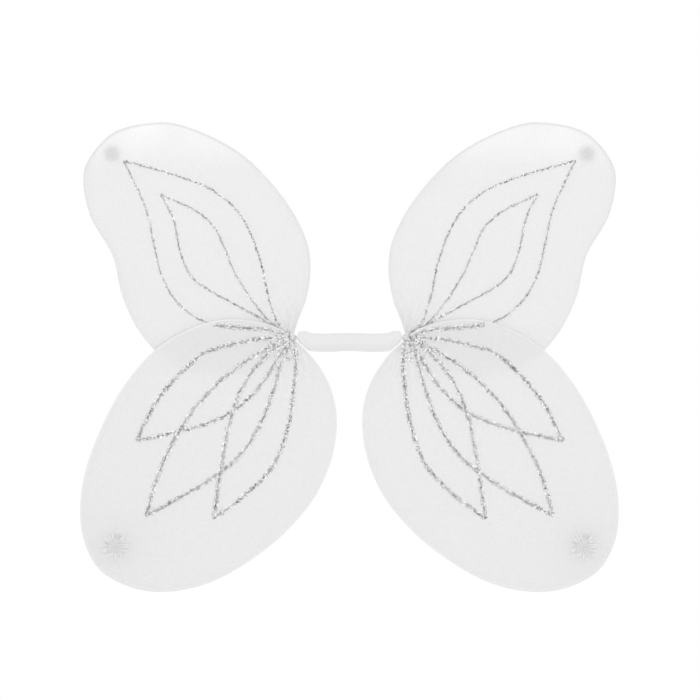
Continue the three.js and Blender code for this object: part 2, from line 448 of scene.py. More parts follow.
@dataclass(frozen=True)
class GlitterFlakes(Finish):
    """Cut foil flakes: tiny mirrors, each at its own tilt, with a painted glint: some are coloured bright and some
    dark.
    """

    name: str = "silver_glitter_flakes"
    dark: str = "1e1e1e"
    bright: str = "ffffff"
    roughness: float = 0.2
    clump_mm: float = 2.6

    def paint(self, tree: bpy.types.NodeTree, shader: bpy.types.Node) -> None:
        """Paints each flake's glint from its own level, shifted alike for flakes that lie together as if they
        tilted together.
        """
        flake = add_node(tree, "ShaderNodeAttribute", {"attribute_name": "sparkle"})
        place = add_node(tree, "ShaderNodeTexCoord")
        # painted glint: flakes that lie together share a shift of brightness, as if tilted together towards the
        # light
        glint_patches = add_node(
            tree,
            "ShaderNodeTexNoise",
            inputs={"Vector": place.outputs["Object"], "Scale": 1 / (self.clump_mm * MM)},
        )
        tilt = add_node(
            tree,
            "ShaderNodeMapRange",
            inputs={
                "Value": glint_patches.outputs["Fac"],
                "From Min": 0.35,
                "From Max": 0.65,
                "To Min": -0.3,
                "To Max": 0.3,
            },
        )
        glint = add_node(
            tree,
            "ShaderNodeMath",
            {"operation": "ADD"},
            {0: flake.outputs["Fac"], 1: tilt.outputs["Result"]},
        )
        steep = add_node(
            tree,
            "ShaderNodeMapRange",
            {"interpolation_type": "SMOOTHSTEP"},
            {"Value": glint.outputs[0], "From Min": 0.25, "From Max": 0.65},
        )
        # painted glint: each flake's colour runs from dark to white by its glint
        colour = add_node(
            tree,
            "ShaderNodeMix",
            {"data_type": "RGBA"},
            {
                "Factor": steep.outputs["Result"],
                "A": linear(self.dark),
                "B": linear(self.bright),
            },
        )
        tree.links.new(colour.outputs["Result"], shader.inputs["Base Color"])
        shader.inputs["Metallic"].default_value = 0.85
        shader.inputs["Roughness"].default_value = self.roughness


@dataclass(frozen=True)
class GlitterGlue(Finish):
    """Dried clear glue, grey with the fine glitter in it, lumpy and glossy."""

    name: str = "silver_glitter_glue"
    clear: str = "dadada"
    filled: str = "545454"
    roughness: float = 0.3
    grain_mm: float = 1.1

    def paint(self, tree: bpy.types.NodeTree, shader: bpy.types.Node) -> None:
        """Adds the grain of the fine glitter."""
        place = add_node(tree, "ShaderNodeTexCoord")
        grain = add_node(
            tree,
            "ShaderNodeTexVoronoi",
            inputs={"Vector": place.outputs["Object"], "Scale": 1 / (self.grain_mm * MM)},
        )
        level = add_node(tree, "ShaderNodeSeparateColor", inputs={0: grain.outputs["Color"]})
        colour = add_node(
            tree,
            "ShaderNodeMix",
            {"data_type": "RGBA"},
            {"Factor": level.outputs[0], "A": linear(self.clear), "B": linear(self.filled)},
        )
        bump = add_node(
            tree,
            "ShaderNodeBump",
            inputs={"Strength": 0.4, "Distance": 0.0003, "Height": grain.outputs["Distance"]},
        )
        tree.links.new(colour.outputs["Result"], shader.inputs["Base Color"])
        tree.links.new(bump.outputs[0], shader.inputs["Normal"])
        shader.inputs["Roughness"].default_value = self.roughness
        shader.inputs["Coat Weight"].default_value = 0.4


@dataclass(frozen=True)
class SpunThread(Finish):
    """White spun polyester thread: soft, matt, with its ply showing as fine light and shade."""

    name: str = "white_spun_thread"
    lit: str = "f8f8f8"
    shade: str = "e4e4e4"
    ply_mm: float = 0.5

    def paint(self, tree: bpy.types.NodeTree, shader: bpy.types.Node) -> None:
        """Adds the twist of the ply."""
        place = add_node(tree, "ShaderNodeTexCoord")
        ply = add_node(
            tree,
            "ShaderNodeTexWave",
            {"bands_direction": "DIAGONAL"},
            {
                "Vector": place.outputs["Object"],
                "Scale": 0.314 / (self.ply_mm * MM),
                "Distortion": 2.0,
                "Detail": 2.0,
            },
        )
        colour = add_node(
            tree,
            "ShaderNodeMix",
            {"data_type": "RGBA"},
            {"Factor": ply.outputs["Fac"], "A": linear(self.shade), "B": linear(self.lit)},
        )
        bump = add_node(
            tree,
            "ShaderNodeBump",
            inputs={"Strength": 0.5, "Distance": 0.0001, "Height": ply.outputs["Fac"]},
        )
        tree.links.new(colour.outputs["Result"], shader.inputs["Base Color"])
        tree.links.new(bump.outputs[0], shader.inputs["Normal"])
        shader.inputs["Roughness"].default_value = 0.85
        shader.inputs["Sheen Weight"].default_value = 0.25


@dataclass(frozen=True)
class BrushedKnit(Finish):
    """White polyester knit, brushed soft: matt, with fine ribs and a faint nap."""

    name: str = "white_brushed_knit"
    nap: str = "f6f6f6"
    groove: str = "efefef"
    rib_mm: float = 1.4
    nap_mm: float = 0.8

    def paint(self, tree: bpy.types.NodeTree, shader: bpy.types.Node) -> None:
        """Adds the ribs along the sleeve and the nap over them, with painted shade in the grooves between the ribs.
        """
        place = add_node(tree, "ShaderNodeTexCoord")
        ribs = add_node(
            tree,
            "ShaderNodeTexWave",
            {"bands_direction": "X"},
            {
                "Vector": place.outputs["Object"],
                "Scale": 0.314 / (self.rib_mm * MM),
                "Distortion": 1.5,
                "Detail": 2.0,
            },
        )
        nap = add_node(
            tree,
            "ShaderNodeTexNoise",
            inputs={
                "Vector": place.outputs["Object"],
                "Scale": 1 / (self.nap_mm * MM),
                "Detail": 5.0,
            },
        )
        mixed = add_node(
            tree,
            "ShaderNodeMath",
            {"operation": "MULTIPLY_ADD"},
            {0: ribs.outputs["Fac"], 1: 0.5, 2: nap.outputs["Fac"]},
        )
        level = add_node(
            tree,
            "ShaderNodeMapRange",
            inputs={"Value": mixed.outputs[0], "From Min": 0.3, "From Max": 1.1},
        )
        # painted shade: the colour darkens into the grooves between the ribs, and the nap varies it at random
        colour = add_node(
            tree,
            "ShaderNodeMix",
            {"data_type": "RGBA"},
            {
                "Factor": level.outputs["Result"],
                "A": linear(self.groove),
                "B": linear(self.nap),
            },
        )
        bump = add_node(
            tree,
            "ShaderNodeBump",
            inputs={"Strength": 0.35, "Distance": 0.0002, "Height": mixed.outputs[0]},
        )
        tree.links.new(colour.outputs["Result"], shader.inputs["Base Color"])
        tree.links.new(bump.outputs[0], shader.inputs["Normal"])
        shader.inputs["Roughness"].default_value = 0.9
        shader.inputs["Sheen Weight"].default_value = 0.35


@dataclass(frozen=True)
class Wadding(Finish):
    """Polyester wadding: loose white fibre, matt and cloudy."""

    name: str = "white_polyester_wadding"
    fibre: str = "eeeeec"
    hollow: str = "d4d4d2"
    tuft_mm: float = 1.6

    def paint(self, tree: bpy.types.NodeTree, shader: bpy.types.Node) -> None:
        """Adds the tufts of the fibre, with painted shade in the hollows between them."""
        place = add_node(tree, "ShaderNodeTexCoord")
        tufts = add_node(
            tree,
            "ShaderNodeTexNoise",
            inputs={
                "Vector": place.outputs["Object"],
                "Scale": 1 / (self.tuft_mm * MM),
                "Detail": 8.0,
                "Roughness": 0.7,
            },
        )
        # painted shade: the colour darkens into the hollows between the tufts
        colour = add_node(
            tree,
            "ShaderNodeMix",
            {"data_type": "RGBA"},
            {"Factor": tufts.outputs["Fac"], "A": linear(self.hollow), "B": linear(self.fibre)},
        )
        bump = add_node(
            tree,
            "ShaderNodeBump",
            inputs={"Strength": 0.8, "Distance": 0.0004, "Height": tufts.outputs["Fac"]},
        )
        tree.links.new(colour.outputs["Result"], shader.inputs["Base Color"])
        tree.links.new(bump.outputs[0], shader.inputs["Normal"])
        shader.inputs["Roughness"].default_value = 1.0
        shader.inputs["Sheen Weight"].default_value = 0.4


@dataclass(frozen=True)
class StudioPaper(Finish):
    """White seamless paper that is lit until it shows no shade."""

    name: str = "white_seamless_paper"

    def paint(self, tree: bpy.types.NodeTree, shader: bpy.types.Node) -> None:
        """Sets a white that gives back as much light as the surround."""
        shader.inputs["Base Color"].default_value = linear("000000")
        shader.inputs["Roughness"].default_value = 1.0
        shader.inputs["Specular IOR Level"].default_value = 0.0
        shader.inputs["Emission Color"].default_value = linear("ffffff")
        shader.inputs["Emission Strength"].default_value = 1.0


# ---------- meshes ----------


def mesh_object(
    name: str,
    points: Line,
    faces: Sequence[Sequence[int]],
    finish: Finish,
    edges: Sequence[Sequence[int]] = (),
) -> bpy.types.Object:
    """Makes a mesh object at the origin, with its faces outwards and shaded smooth.

    Args:
        name: The object's name.
        points: The vertices, one in each row.
        faces: Each face's vertices.
        finish: What it is made of.
        edges: Loose edges, for a line that a node tree then follows.

    Returns:
        The object, linked to the scene.
    """
    mesh = bpy.data.meshes.new(name)
    mesh.from_pydata([tuple(p) for p in points], list(edges), list(faces))
    mesh.update()
    if faces:
        turn_outwards(mesh)
        mesh.polygons.foreach_set("use_smooth", [True] * len(mesh.polygons))
    mesh.materials.append(finish.material())
    piece = bpy.data.objects.new(name, mesh)
    bpy.context.scene.collection.objects.link(piece)
    return piece


def turn_outwards(mesh: bpy.types.Mesh) -> None:
    """Flips a closed or nearly closed mesh whose faces point in."""
    work = bmesh.new()
    work.from_mesh(mesh)
    if work.calc_volume(signed=True) < 0:
        bmesh.ops.reverse_faces(work, faces=work.faces)
        work.to_mesh(mesh)
    work.free()


def store_vectors(piece: bpy.types.Object, name: str, vectors: Line) -> None:
    """Keeps a vector for each vertex, which a material can read."""
    attribute = piece.data.attributes.new(name, "FLOAT_VECTOR", "POINT")
    attribute.data.foreach_set("vector", np.asarray(vectors, np.float32).ravel())


def store_values(piece: bpy.types.Object, name: str, values: Line) -> None:
    """Keeps a number for each vertex, which a material or a node tree can read."""
    attribute = piece.data.attributes.new(name, "FLOAT", "POINT")
    attribute.data.foreach_set("value", np.asarray(values, np.float32))


def band_faces(rings: int, turns: int) -> list[tuple[int, ...]]:
    """The faces of a tube that is made of rings of points.

    Args:
        rings: How many rings there are.
        turns: How many points each ring has.

    Returns:
        The faces, without the ends.
    """
    return [
        (r * turns + c, r * turns + (c + 1) % turns, (r + 1) * turns + (c + 1) % turns,
         (r + 1) * turns + c)
        for r in range(rings - 1)
        for c in range(turns)
    ]


def length_of(line: Line) -> float:
    """The length of a line."""
    return float(np.linalg.norm(np.diff(line, axis=0), axis=1).sum())


def smooth_through(points: Line, per_stretch: int = 24) -> Line:
    """A centripetal Catmull-Rom line through points.

    Args:
        points: The points, one in each row.
        per_stretch: How many samples each stretch between two points gets.

    Returns:
        The samples, from the first point to the last.
    """
    ends = np.vstack([2 * points[0] - points[1], points, 2 * points[-1] - points[-2]])
    samples = []
    for index in range(1, len(ends) - 2):
        p0, p1, p2, p3 = ends[index - 1 : index + 3]
        d0, d1, d2 = (math.sqrt(np.linalg.norm(b - a)) for a, b in ((p0, p1), (p1, p2), (p2, p3)))
        start = d1 * ((p1 - p0) / d0 - (p2 - p0) / (d0 + d1) + (p2 - p1) / d1)
        finish = d1 * ((p2 - p1) / d1 - (p3 - p1) / (d1 + d2) + (p3 - p2) / d2)
        for step in range(per_stretch):
            t = step / per_stretch
            cubic = (2 * p1 - 2 * p2 + start + finish) * t**3
            square = (3 * p2 - 3 * p1 - 2 * start - finish) * t**2
            samples.append(cubic + square + start * t + p1)
    samples.append(points[-1])
    return np.array(samples)


def spaced(line: Line, count: int, low: float = 0.0, high: float = 1.0) -> Line:
    """Evenly spaced points along part of a line.

    Args:
        line: The line's points.
        count: How many points to give.
        low: Where the part starts, as a share of the line's length.
        high: Where it ends.

    Returns:
        The points.
    """
    runs = np.concatenate([[0], np.cumsum(np.linalg.norm(np.diff(line, axis=0), axis=1))])
    wanted = np.linspace(low, high, count) * runs[-1]
    return np.column_stack([np.interp(wanted, runs, line[:, axis]) for axis in range(line.shape[1])])


def outward(line: Line) -> Line:
    """The unit normals of a line in its plane, pointing out of the shape that it goes round."""
    along = np.gradient(line, axis=0)
    normals = np.column_stack([along[:, 1], -along[:, 0]])
    normals /= np.linalg.norm(normals, axis=1, keepdims=True)
    following = np.roll(line, -1, axis=0)
    area = np.sum(line[:, 0] * following[:, 1] - following[:, 0] * line[:, 1])
    return normals if area > 0 else -normals


# ---------- node trees ----------


class Trees:
    """The Geometry Nodes trees that follow a line or repeat a small shape."""

    @staticmethod
    def start(name: str, inputs: Mapping[str, str]) -> tuple[bpy.types.NodeTree, bpy.types.Node]:
        """Starts a tree with named inputs.

        Args:
            name: The tree's name.
            inputs: Each input's socket type, by its name.

        Returns:
            The tree and its input node.
        """
        tree = bpy.data.node_groups.new(name, "GeometryNodeTree")
        tree.interface.new_socket("Geometry", in_out="OUTPUT", socket_type="NodeSocketGeometry")
        tree.interface.new_socket("Geometry", in_out="INPUT", socket_type="NodeSocketGeometry")
        for label, kind in inputs.items():
            tree.interface.new_socket(label, in_out="INPUT", socket_type=kind)
        return tree, add_node(tree, "NodeGroupInput")

    @staticmethod
    def end(tree: bpy.types.NodeTree, shape: bpy.types.NodeSocket, dress: bool = True) -> None:
        """Ends a tree with real geometry and its material.

        Args:
            tree: The tree.
            shape: What the tree made.
            dress: Whether the tree's Material input goes on all of it.
        """
        real = add_node(tree, "GeometryNodeRealizeInstances", inputs={0: shape})
        last = real.outputs[0]
        if dress:
            given = next(n for n in tree.nodes if n.bl_idname == "NodeGroupInput")
            dressed = add_node(
                tree,
                "GeometryNodeSetMaterial",
                inputs={"Geometry": last, "Material": given.outputs["Material"]},
            )
            last = dressed.outputs[0]
        add_node(tree, "NodeGroupOutput", inputs={0: last})

    @classmethod
    def tube(cls) -> bpy.types.NodeTree:
        """A round tube along a line of edges, with closed ends."""
        tree, given = cls.start(
            "tube_along_line",
            {
                "Radius": "NodeSocketFloat",
                "Sides": "NodeSocketInt",
                "Material": "NodeSocketMaterial",
            },
        )
        line = add_node(tree, "GeometryNodeMeshToCurve", inputs={0: given.outputs["Geometry"]})
        ring = add_node(
            tree,
            "GeometryNodeCurvePrimitiveCircle",
            inputs={"Resolution": given.outputs["Sides"], "Radius": given.outputs["Radius"]},
        )
        tube = add_node(
            tree,
            "GeometryNodeCurveToMesh",
            inputs={"Curve": line.outputs[0], "Profile Curve": ring.outputs[0], "Fill Caps": True},
        )
        cls.end(tree, tube.outputs[0])
        return tree

    @classmethod
    def glitter(cls) -> bpy.types.NodeTree:
        """A flat bead of glue along lines of edges, with flakes lying on its front."""
        tree, given = cls.start(
            "glitter_bead",
            {
                "Width": "NodeSocketFloat",
                "Flatness": "NodeSocketFloat",
                "Plane": "NodeSocketFloat",
                "Lumps": "NodeSocketFloat",
                "Flake": "NodeSocketFloat",
                "Density": "NodeSocketFloat",
                "Strays": "NodeSocketFloat",
                "Stray Reach": "NodeSocketFloat",
                "Seed": "NodeSocketInt",
                "Glue": "NodeSocketMaterial",
                "Flakes": "NodeSocketMaterial",
            },
        )
        line = add_node(tree, "GeometryNodeMeshToCurve", inputs={0: given.outputs["Geometry"]})
        place = add_node(tree, "GeometryNodeInputPosition")
        lumps = add_node(
            tree,
            "ShaderNodeTexNoise",
            inputs={"Vector": place.outputs[0], "Scale": 260.0, "Detail": 2.0},
        )
        uneven = add_node(
            tree,
            "ShaderNodeMapRange",
            inputs={
                "Value": lumps.outputs["Fac"],
                "From Min": 0.3,
                "From Max": 0.7,
                "To Min": 0.5,
                "To Max": given.outputs["Lumps"],
            },
        )
        swell = add_node(
            tree, "GeometryNodeInputNamedAttribute", {"data_type": "FLOAT"}, {"Name": "swell"}
        )
        scale = add_node(
            tree,
            "ShaderNodeMath",
            {"operation": "MULTIPLY"},
            {0: uneven.outputs["Result"], 1: swell.outputs[0]},
        )
        half = add_node(
            tree, "ShaderNodeMath", {"operation": "MULTIPLY"}, {0: given.outputs["Width"], 1: 0.5}
        )
        ring = add_node(
            tree,
            "GeometryNodeCurvePrimitiveCircle",
            inputs={"Resolution": 10, "Radius": half.outputs[0]},
        )
        bead = add_node(
            tree,
            "GeometryNodeCurveToMesh",
            inputs={
                "Curve": line.outputs[0],
                "Profile Curve": ring.outputs[0],
                "Scale": scale.outputs[0],
                "Fill Caps": True,
            },
        )
        flat = cls.flattened(tree, given, bead.outputs[0], given.outputs["Flatness"])
        glued = add_node(
            tree,
            "GeometryNodeSetMaterial",
            inputs={"Geometry": flat, "Material": given.outputs["Glue"]},
        )
        around = add_node(
            tree,
            "GeometryNodeCurveToMesh",
            inputs={
                "Curve": line.outputs[0],
                "Profile Curve": ring.outputs[0],
                "Scale": given.outputs["Stray Reach"],
            },
        )
        skirt = cls.flattened(tree, given, around.outputs[0], 0.05)
        flakes = cls.scattered(tree, given, flat, given.outputs["Density"])
        strays = cls.scattered(tree, given, skirt, given.outputs["Strays"])
        joined = add_node(tree, "GeometryNodeJoinGeometry")
        for part in (glued.outputs[0], flakes, strays):
            tree.links.new(part, joined.inputs[0])
        cls.end(tree, joined.outputs[0], dress=False)
        return tree

    @staticmethod
    def flattened(
        tree: bpy.types.NodeTree,
        given: bpy.types.Node,
        shape: bpy.types.NodeSocket,
        kept: bpy.types.NodeSocket | float,
    ) -> bpy.types.NodeSocket:
        """Presses a shape flat, front to back, on to its plane.

        Args:
            tree: The tree.
            given: The tree's input node, with Plane.
            shape: What to press.
            kept: The share of its depth that it keeps.

        Returns:
            The pressed shape.
        """
        place = add_node(tree, "GeometryNodeInputPosition")
        split = add_node(tree, "ShaderNodeSeparateXYZ", inputs={0: place.outputs[0]})
        depth = add_node(
            tree,
            "ShaderNodeMath",
            {"operation": "SUBTRACT"},
            {0: split.outputs["Y"], 1: given.outputs["Plane"]},
        )
        pressed = add_node(
            tree,
            "ShaderNodeMath",
            {"operation": "MULTIPLY_ADD"},
            {0: depth.outputs[0], 1: kept, 2: given.outputs["Plane"]},
        )
        moved = add_node(
            tree,
            "ShaderNodeCombineXYZ",
            inputs={0: split.outputs["X"], 1: pressed.outputs[0], 2: split.outputs["Z"]},
        )
        result = add_node(
            tree,
            "GeometryNodeSetPosition",
            inputs={"Geometry": shape, "Position": moved.outputs[0]},
        )
        return result.outputs[0]

    @staticmethod
    def scattered(
        tree: bpy.types.NodeTree,
        given: bpy.types.Node,
        surface: bpy.types.NodeSocket,
        density: bpy.types.NodeSocket,
    ) -> bpy.types.NodeSocket:
        """Six-sided flakes on the front of a surface, each tilted and with its own level of painted glint.

        Args:
            tree: The tree.
            given: The tree's input node, with Flake, Seed and Flakes.
            surface: What the flakes lie on.
            density: How many there are in each square metre.

        Returns:
            The flakes.
        """
        normal = add_node(tree, "GeometryNodeInputNormal")
        facing = add_node(tree, "ShaderNodeSeparateXYZ", inputs={0: normal.outputs[0]})
        front = add_node(
            tree,
            "FunctionNodeCompare",
            {"data_type": "FLOAT", "operation": "LESS_THAN"},
            {0: facing.outputs["Y"], 1: -0.1},
        )
        spots = add_node(
            tree,
            "GeometryNodeDistributePointsOnFaces",
            inputs={
                "Mesh": surface,
                "Selection": front.outputs[0],
                "Density": density,
                "Seed": given.outputs["Seed"],
            },
        )
        flake = add_node(
            tree,
            "GeometryNodeMeshCircle",
            {"fill_type": "NGON"},
            {"Vertices": 6, "Radius": given.outputs["Flake"]},
        )
        tilt = add_node(
            tree,
            "FunctionNodeRandomValue",
            {"data_type": "FLOAT_VECTOR"},
            {
                "Min": (-0.45, -0.45, -3.0),
                "Max": (0.45, 0.45, 3.0),
                "Seed": given.outputs["Seed"],
            },
        )
        tilted = add_node(
            tree,
            "FunctionNodeRotateEuler",
            {"space": "LOCAL"},
            {"Rotation": spots.outputs["Rotation"], "Rotate By": tilt.outputs["Value"]},
        )
        size = add_node(
            tree,
            "FunctionNodeRandomValue",
            {"data_type": "FLOAT"},
            {2: 0.6, 3: 1.25, "Seed": given.outputs["Seed"]},
        )
        placed = add_node(
            tree,
            "GeometryNodeInstanceOnPoints",
            inputs={
                "Points": spots.outputs["Points"],
                "Instance": flake.outputs[0],
                "Rotation": tilted.outputs[0],
                "Scale": size.outputs[1],
            },
        )
        # each flake's level of painted glint, which its material reads
        sparkle = add_node(
            tree,
            "FunctionNodeRandomValue",
            {"data_type": "FLOAT"},
            {2: 0.0, 3: 1.0, "Seed": given.outputs["Seed"]},
        )
        kept = add_node(
            tree,
            "GeometryNodeStoreNamedAttribute",
            {"data_type": "FLOAT", "domain": "INSTANCE"},
            {
                "Geometry": placed.outputs[0],
                "Name": "sparkle",
                "Value": sparkle.outputs[1],
            },
        )
        dressed = add_node(
            tree,
            "GeometryNodeSetMaterial",
            inputs={"Geometry": kept.outputs[0], "Material": given.outputs["Flakes"]},
        )
        return dressed.outputs[0]

    @classmethod
    def sprinkled(cls) -> bpy.types.NodeTree:
        """Flakes alone, on the front of the source object."""
        tree, given = cls.start(
            "sprinkled_flakes",
            {
                "Flake": "NodeSocketFloat",
                "Density": "NodeSocketFloat",
                "Seed": "NodeSocketInt",
                "Flakes": "NodeSocketMaterial",
            },
        )
        flakes = cls.scattered(tree, given, given.outputs["Geometry"], given.outputs["Density"])
        cls.end(tree, flakes, dress=False)
        return tree

    @classmethod
    def stitches(cls) -> bpy.types.NodeTree:
        """Short stitches of thread, evenly spaced along lines of edges."""
        tree, given = cls.start(
            "stitch_row",
            {
                "Pitch": "NodeSocketFloat",
                "Length": "NodeSocketFloat",
                "Thread": "NodeSocketFloat",
                "Material": "NodeSocketMaterial",
            },
        )
        line = add_node(tree, "GeometryNodeMeshToCurve", inputs={0: given.outputs["Geometry"]})
        spots = add_node(
            tree,
            "GeometryNodeCurveToPoints",
            {"mode": "LENGTH"},
            {"Curve": line.outputs[0], "Length": given.outputs["Pitch"]},
        )
        bead = add_node(
            tree,
            "GeometryNodeMeshIcoSphere",
            inputs={"Radius": 1.0, "Subdivisions": 2},
        )
        half = add_node(
            tree, "ShaderNodeMath", {"operation": "MULTIPLY"}, {0: given.outputs["Length"], 1: 0.5}
        )
        size = add_node(
            tree,
            "ShaderNodeCombineXYZ",
            inputs={
                0: given.outputs["Thread"],
                1: given.outputs["Thread"],
                2: half.outputs[0],
            },
        )
        placed = add_node(
            tree,
            "GeometryNodeInstanceOnPoints",
            inputs={
                "Points": spots.outputs["Points"],
                "Instance": bead.outputs[0],
                "Rotation": spots.outputs["Rotation"],
                "Scale": size.outputs[0],
            },
        )
        cls.end(tree, placed.outputs[0])
        return tree

    @classmethod
    def wound_ball(cls) -> bpy.types.NodeTree:
        """Rings of thread round a ball, each turned its own way."""
        tree, given = cls.start(
            "wound_ball",
            {
                "Ball": "NodeSocketFloat",
                "Thread": "NodeSocketFloat",
                "Turns": "NodeSocketInt",
                "Centre": "NodeSocketVector",
                "Seed": "NodeSocketInt",
                "Material": "NodeSocketMaterial",
            },
        )
        ring = add_node(
            tree,
            "GeometryNodeCurvePrimitiveCircle",
            inputs={"Resolution": 40, "Radius": given.outputs["Ball"]},
        )
        section = add_node(
            tree,
            "GeometryNodeCurvePrimitiveCircle",
            inputs={"Resolution": 7, "Radius": given.outputs["Thread"]},
        )
        loop = add_node(
            tree,
            "GeometryNodeCurveToMesh",
            inputs={"Curve": ring.outputs[0], "Profile Curve": section.outputs[0]},
        )
        spots = add_node(
            tree,
            "GeometryNodePoints",
            inputs={"Count": given.outputs["Turns"], "Position": given.outputs["Centre"]},
        )
        way = add_node(
            tree,
            "FunctionNodeRandomValue",
            {"data_type": "FLOAT_VECTOR"},
            {"Min": (-3.0, -3.0, -3.0), "Max": (3.0, 3.0, 3.0), "Seed": given.outputs["Seed"]},
        )
        turns = add_node(
            tree,
            "GeometryNodeInstanceOnPoints",
            inputs={
                "Points": spots.outputs[0],
                "Instance": loop.outputs[0],
                "Rotation": way.outputs["Value"],
            },
        )
        joined = add_node(tree, "GeometryNodeJoinGeometry")
        tree.links.new(given.outputs["Geometry"], joined.inputs[0])
        tree.links.new(turns.outputs[0], joined.inputs[0])
        cls.end(tree, joined.outputs[0])
        return tree


def grown(
    name: str, source: bpy.types.Object, tree: bpy.types.NodeTree, values: Mapping[str, object]
) -> bpy.types.Object:
    """Runs a tree on a source object and keeps the result as a plain mesh.

    Args:
        name: The new object's name.
        source: The object that the tree starts from; it is removed.
        tree: The node tree.
        values: The tree's inputs, by their names.

    Returns:
        The new object at the origin.
    """
    modifier = source.modifiers.new(tree.name, "NODES")
    modifier.node_group = tree
    for item in tree.interface.items_tree:
        if item.item_type == "SOCKET" and item.in_out == "INPUT" and item.name in values:
            modifier[item.identifier] = values[item.name]
    graph = bpy.context.evaluated_depsgraph_get()
    graph.update()
    mesh = bpy.data.meshes.new_from_object(source.evaluated_get(graph))
    mesh.name = name
    mesh.polygons.foreach_set("use_smooth", [True] * len(mesh.polygons))
    piece = bpy.data.objects.new(name, mesh)
    bpy.context.scene.collection.objects.link(piece)
    bpy.data.objects.remove(source)
    return piece


def settle(
    piece: bpy.types.Object, body: str, slot: str, *nodes: str
) -> bpy.types.Object:
    """Gives a finished piece to its body, in place of the CAD nodes that it stands for."""
    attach(piece, body)
    if nodes:
        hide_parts(*nodes)
    LOG.info("%s: %d faces on %s", piece.name, len(piece.data.polygons), body)
    return piece


def puff(piece: bpy.types.Object, held: Sequence[int], cap: float) -> None:
    """Fills a closed fabric piece with air pressure, then smooths it.

    Args:
        piece: The fabric, as a closed mesh of even quads.
        held: The vertices that stay in place.
        cap: The furthest that a point may move, in metres.
    """
    group = piece.vertex_groups.new(name="held")
    group.add(list(held), 1.0, "REPLACE")
    start = vertex_places(piece.data)
    cloth = piece.modifiers.new("stuffing", "CLOTH")
    cloth.settings.quality = 8
    cloth.settings.mass = 0.15
    cloth.settings.use_pressure = True
    cloth.settings.uniform_pressure_force = 4.0
    cloth.settings.shrink_min = -0.02
    cloth.settings.vertex_group_mass = "held"
    cloth.settings.effector_weights.gravity = 0.0
    cloth.point_cache.frame_start = 1
    cloth.point_cache.frame_end = 20
    for frame_number in range(1, 21):
        bpy.context.scene.frame_set(frame_number)
    graph = bpy.context.evaluated_depsgraph_get()
    moved = piece.evaluated_get(graph).to_mesh()
    step = vertex_places(moved) - start
    piece.evaluated_get(graph).to_mesh_clear()
    piece.modifiers.remove(cloth)
    bpy.context.scene.frame_set(1)
    far = np.linalg.norm(step, axis=1, keepdims=True)
    step *= np.minimum(1.0, cap / np.maximum(far, 1e-9))
    piece.data.vertices.foreach_set("co", (start + step).astype(np.float32).ravel())
    piece.data.update()
    LOG.info("%s: the cloth moved up to %.2f mm", piece.name, float(far.max()) / MM)
    finer = piece.modifiers.new("finer", "SUBSURF")
    finer.levels = finer.render_levels = 1


def vertex_places(mesh: bpy.types.Mesh) -> Line:
    """The places of a mesh's vertices, one in each row."""
    flat = np.zeros(len(mesh.vertices) * 3, np.float32)
    mesh.vertices.foreach_get("co", flat)
    return flat.reshape(-1, 3).astype(float)


# ---------- a wing ----------


@dataclass(frozen=True)
class Leaf:
    """One leaf of glitter lines: its tip, and the points of the two lines that lead to it."""

    tip: Share
    sides: tuple[tuple[Share, ...], tuple[Share, ...]]


@dataclass(frozen=True)
class WingShape:
    """A wing's drawing in hundredths of its reach and height, from the root knot."""

    rank: Rank
    outline: tuple[Share, ...]
    leaves: tuple[Leaf, ...]
    toe: Share
    burst_mm: float
    streaks: float
    pull: float
    vein_mm: float
    carried: Share | None = None


UPPER = WingShape(
    rank=Rank.UPPER,
    outline=(
        (0, 0), (-2.6, 8.2), (-6, 16.5), (-8.2, 27.3), (-8.4, 35.5), (-6.8, 44.6), (3.2, 63.2),
        (25.2, 85.6), (52.2, 98.4), (65, 100), (86.4, 95), (99.2, 80.3), (100.4, 70.5),
        (96.8, 55.8), (86.4, 38), (81.8, 19.5), (72.8, 1.8), (59, -11.4), (38, -17.6),
        (18.2, -14.8), (5.6, -6.6), (0, 0),
    ),
    leaves=(
        Leaf(
            (81, 82),
            (
                (
                    (7.1, 6.6), (11.8, 19.4), (15.2, 34.3), (20.4, 48.6), (26.8, 58.9),
                    (37.9, 68), (54.1, 74.6),
                ),
                ((10.1, 3.3), (41.3, 7.2), (54.1, 15.3), (62.4, 28), (66.5, 43.4), (70.3, 59.5)),
            ),
        ),
        Leaf(
            (63.1, 66.5),
            (
                ((11.8, 8.3), (26.3, 27.7), (33.6, 43.4), (37, 50.4), (44.7, 57.6)),
                ((13.9, 8.3), (42.6, 23.6), (49, 29), (53.9, 39.7), (57.5, 55.6)),
            ),
        ),
    ),
    toe=(86.7, 85.3),
    burst_mm=10.2,
    streaks=0.25,
    pull=0.1,
    vein_mm=1.3,
)

